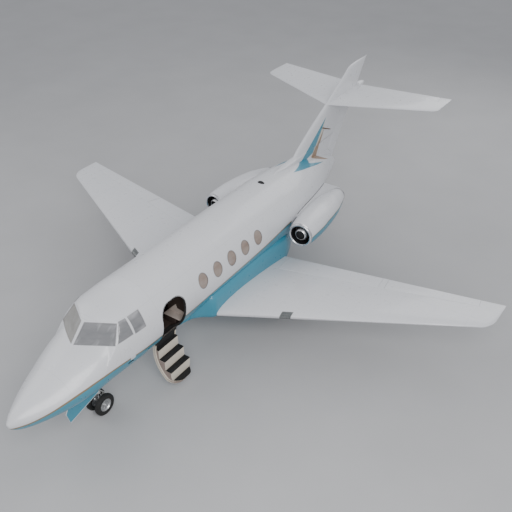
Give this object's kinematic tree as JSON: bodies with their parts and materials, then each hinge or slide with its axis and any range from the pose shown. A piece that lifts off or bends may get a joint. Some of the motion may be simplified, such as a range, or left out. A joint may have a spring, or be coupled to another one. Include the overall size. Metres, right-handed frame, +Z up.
{
  "type": "business jet",
  "caption": "Light twin-engine business jet parked on its gear, with low swept wing, T-tail, rear nacelles, round cabin windows and an open airstair door.",
  "frame": {"origin": "on the ground under the middle of the aircraft's length, in its plane of symmetry", "axes": "+X to port, +Y aft along the fuselage, +Z up"},
  "size_m": [14.33, 15.45, 5.111],
  "materials": {
    "white_paint": "gloss white paint",
    "teal_paint": "gloss teal paint",
    "glass": "clear, slightly grey",
    "beige_trim": "matt beige trim and upholstery",
    "brown_lining": "matt dark brown lining",
    "black_plastic": "matt black",
    "tyre_rubber": "matt black rubber",
    "silver_metal": "satin bare metal",
    "strut_grey": "light grey paint",
    "dark_metal": "dark heat-stained metal"
  },
  "bodies": {
    "airframe": {"aft_bulkhead": "brown_lining", "cabin_floor": "brown_lining", "cabin_seats_port": "beige_trim", "cabin_seats_starboard": "beige_trim", "cabin_section": "white_paint", "cabin_windows_port": "glass", "cabin_windows_starboard": "glass", "cockpit_bulkhead": "brown_lining", "cockpit_floor": "brown_lining", "cockpit_section": "white_paint", "crew_seats": "beige_trim", "engine_core_port": "dark_metal", "engine_core_starboard": "dark_metal", "fin": "white_paint", "fin_cap": "white_paint", "galley_cabinet": "beige_trim", "instrument_panel": "black_plastic", "main_door_port": "teal_paint", "main_door_starboard": "teal_paint", "main_leg_port": "strut_grey", "main_leg_starboard": "strut_grey", "nacelle_port": "white_paint", "nacelle_starboard": "white_paint", "nose_cone": "white_paint", "nose_door_port": "teal_paint", "nose_door_starboard": "teal_paint", "nose_leg": "strut_grey", "pylon_port": "white_paint", "pylon_starboard": "white_paint", "tail_bullet": "white_paint", "tail_section": "white_paint", "tailplane": "white_paint", "windscreen_glass": "glass", "wing_fairing": "teal_paint", "wing_port": "white_paint", "wing_starboard": "white_paint"},
    "airstair": {"airstair_door": "white_paint", "airstair_steps": "beige_trim"},
    "nose_steering": {"nose_slide": "strut_grey"},
    "nose_wheels": {"nose_wheel_hubs": "silver_metal", "nose_tyre_port": "tyre_rubber", "nose_tyre_starboard": "tyre_rubber"},
    "main_wheels_port": {"main_wheel_hubs_port": "silver_metal", "main_tyre_port_inner": "tyre_rubber", "main_tyre_port_outer": "tyre_rubber"},
    "main_wheels_starboard": {"main_wheel_hubs_starboard": "silver_metal", "main_tyre_starboard_inner": "tyre_rubber", "main_tyre_starboard_outer": "tyre_rubber"},
    "fan_port": {"fan_port": "silver_metal"},
    "fan_starboard": {"fan_starboard": "silver_metal"},
    "flap_port": {"flap_port": "white_paint"},
    "flap_starboard": {"flap_starboard": "white_paint"},
    "aileron_port": {"aileron_port": "white_paint"},
    "aileron_starboard": {"aileron_starboard": "white_paint"},
    "elevator_port": {"elevator_port": "white_paint"},
    "elevator_starboard": {"elevator_starboard": "white_paint"},
    "rudder": {"rudder": "white_paint"}
  },
  "joints": [
    {"name": "airstair_swing", "type": "hinge", "parent": "airframe", "child": "airstair", "pos_m": [0.563, -3.465, 1.34], "axis": [0, 1, 0], "range_deg": [-140, 0]},
    {"name": "nose_steer", "type": "hinge", "parent": "airframe", "child": "nose_steering", "pos_m": [0, -5.295, 0.5], "axis": [0, 0, 1], "range_deg": [-45, 45]},
    {"name": "nose_wheels_roll", "type": "hinge", "parent": "nose_steering", "child": "nose_wheels", "pos_m": [0, -5.295, 0.28256], "axis": [1, 0, 0], "continuous": true},
    {"name": "main_wheels_port_roll", "type": "hinge", "parent": "airframe", "child": "main_wheels_port", "pos_m": [1.42, 0.375, 0.2895], "axis": [1, 0, 0], "continuous": true},
    {"name": "main_wheels_starboard_roll", "type": "hinge", "parent": "airframe", "child": "main_wheels_starboard", "pos_m": [-1.42, 0.375, 0.2895], "axis": [1, 0, 0], "continuous": true},
    {"name": "fan_port_spin", "type": "hinge", "parent": "airframe", "child": "fan_port", "pos_m": [1.4801, 1.47401, 2.05], "axis": [-0.0995, 0.995, 0], "continuous": true},
    {"name": "fan_starboard_spin", "type": "hinge", "parent": "airframe", "child": "fan_starboard", "pos_m": [-1.4801, 1.47401, 2.05], "axis": [0.0995, 0.995, 0], "continuous": true},
    {"name": "flap_port_hinge", "type": "hinge", "parent": "airframe", "child": "flap_port", "pos_m": [2.66, 0.87754, 1.26413], "axis": [0.9798, 0.185, 0.0762], "range_deg": [-40, 0]},
    {"name": "flap_starboard_hinge", "type": "hinge", "parent": "airframe", "child": "flap_starboard", "pos_m": [-2.66, 0.87754, 1.26413], "axis": [0.9798, -0.185, -0.0762], "range_deg": [-40, 0]},
    {"name": "aileron_port_hinge", "type": "hinge", "parent": "airframe", "child": "aileron_port", "pos_m": [5.41, 1.3801, 1.47796], "axis": [0.9791, 0.1885, 0.0761], "range_deg": [-20, 20]},
    {"name": "aileron_starboard_hinge", "type": "hinge", "parent": "airframe", "child": "aileron_starboard", "pos_m": [-5.41, 1.3801, 1.47796], "axis": [0.9791, -0.1885, -0.0761], "range_deg": [-20, 20]},
    {"name": "elevator_port_hinge", "type": "hinge", "parent": "airframe", "child": "elevator_port", "pos_m": [1.515, 6.98088, 4.2566], "axis": [0.9742, 0.2257, 0], "range_deg": [-15, 20]},
    {"name": "elevator_starboard_hinge", "type": "hinge", "parent": "airframe", "child": "elevator_starboard", "pos_m": [-1.515, 6.98088, 4.2566], "axis": [0.9742, -0.2257, 0], "range_deg": [-15, 20]},
    {"name": "rudder_hinge", "type": "hinge", "parent": "airframe", "child": "rudder", "pos_m": [0, 5.8542, 3.34], "axis": [0, 0.6173, 0.7867], "range_deg": [-20, 20]}
  ],
  "couplings": [
    {"joint": "flap_starboard_hinge", "follows": "flap_port_hinge", "ratio": 1},
    {"joint": "aileron_starboard_hinge", "follows": "aileron_port_hinge", "ratio": -1},
    {"joint": "elevator_starboard_hinge", "follows": "elevator_port_hinge", "ratio": 1}
  ]
}
